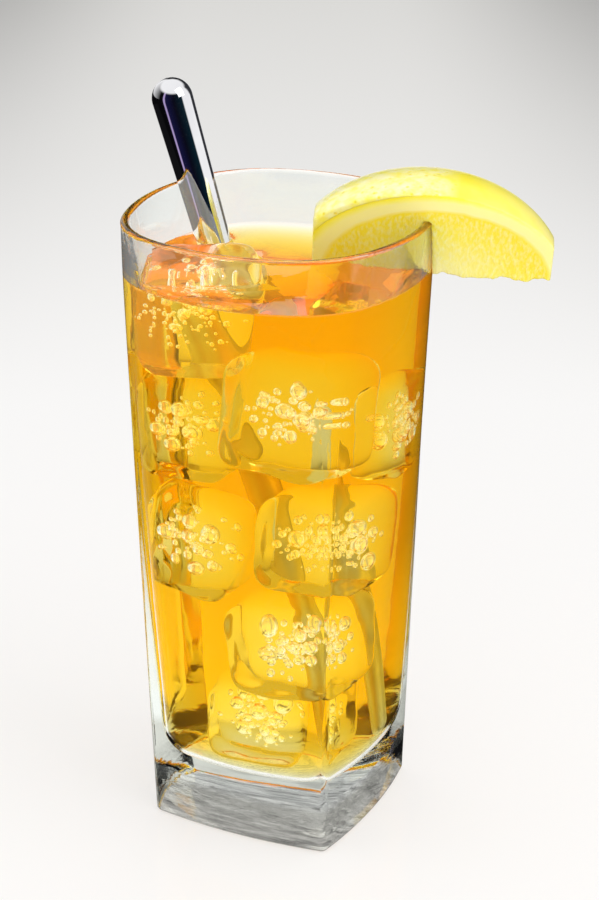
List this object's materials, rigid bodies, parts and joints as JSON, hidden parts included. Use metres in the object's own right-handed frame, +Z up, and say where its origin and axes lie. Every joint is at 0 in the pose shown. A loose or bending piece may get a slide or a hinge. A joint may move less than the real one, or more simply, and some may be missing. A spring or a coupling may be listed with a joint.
{
  "type": "glass of iced tea",
  "caption": "Tall square-footed tumbler of iced tea with floating and sunk ice, a lemon wedge on the rim and a steel stirring rod.",
  "frame": {"origin": "centre of the flat face the glass rests on", "axes": "+Z up through the mouth; X and Y square to the four sides of the foot; the lemon wedge sits on the rim towards +X"},
  "size_m": [0.1017, 0.0724, 0.1836],
  "materials": {
    "clear_glass": "polished",
    "iced_tea": "clear liquid",
    "lemon": "waxy peel and moist flesh",
    "steel": "mirror polished",
    "ice": "wet ice"
  },
  "bodies": {
    "root": {"glass": "clear_glass", "tea": "iced_tea", "lemon_wedge": "lemon", "stirrer": "steel", "ice_cube": "ice"}
  },
  "joints": []
}
